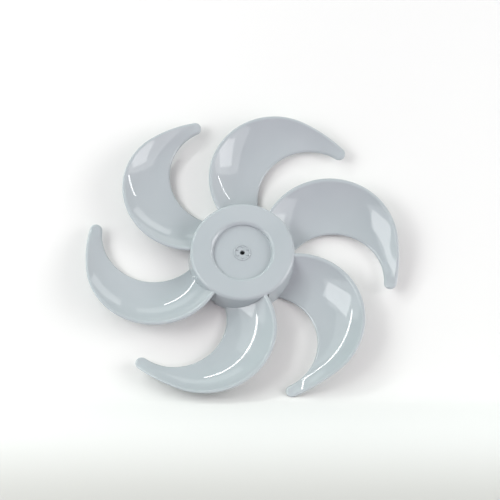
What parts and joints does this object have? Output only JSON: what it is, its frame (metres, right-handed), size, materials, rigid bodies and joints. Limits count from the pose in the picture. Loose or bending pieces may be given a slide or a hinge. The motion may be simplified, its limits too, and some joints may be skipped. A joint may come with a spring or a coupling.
{
  "type": "pedestal fan blade",
  "caption": "One-piece moulded fan impeller: crescent blades swept round a hollow cup hub with a recessed front, a shaft bore and ribs behind.",
  "frame": {"origin": "on the impeller's axis, in the plane of the hub's back rim, on which the part lies", "axes": "+Z along the axis, out of the front of the hub; X and Y across the blades"},
  "size_m": [0.35, 0.3342, 0.0314],
  "materials": {
    "plastic": "glossy pale blue-grey polypropylene, as moulded"
  },
  "bodies": {
    "root": {"fan_blade": "plastic"}
  },
  "joints": []
}
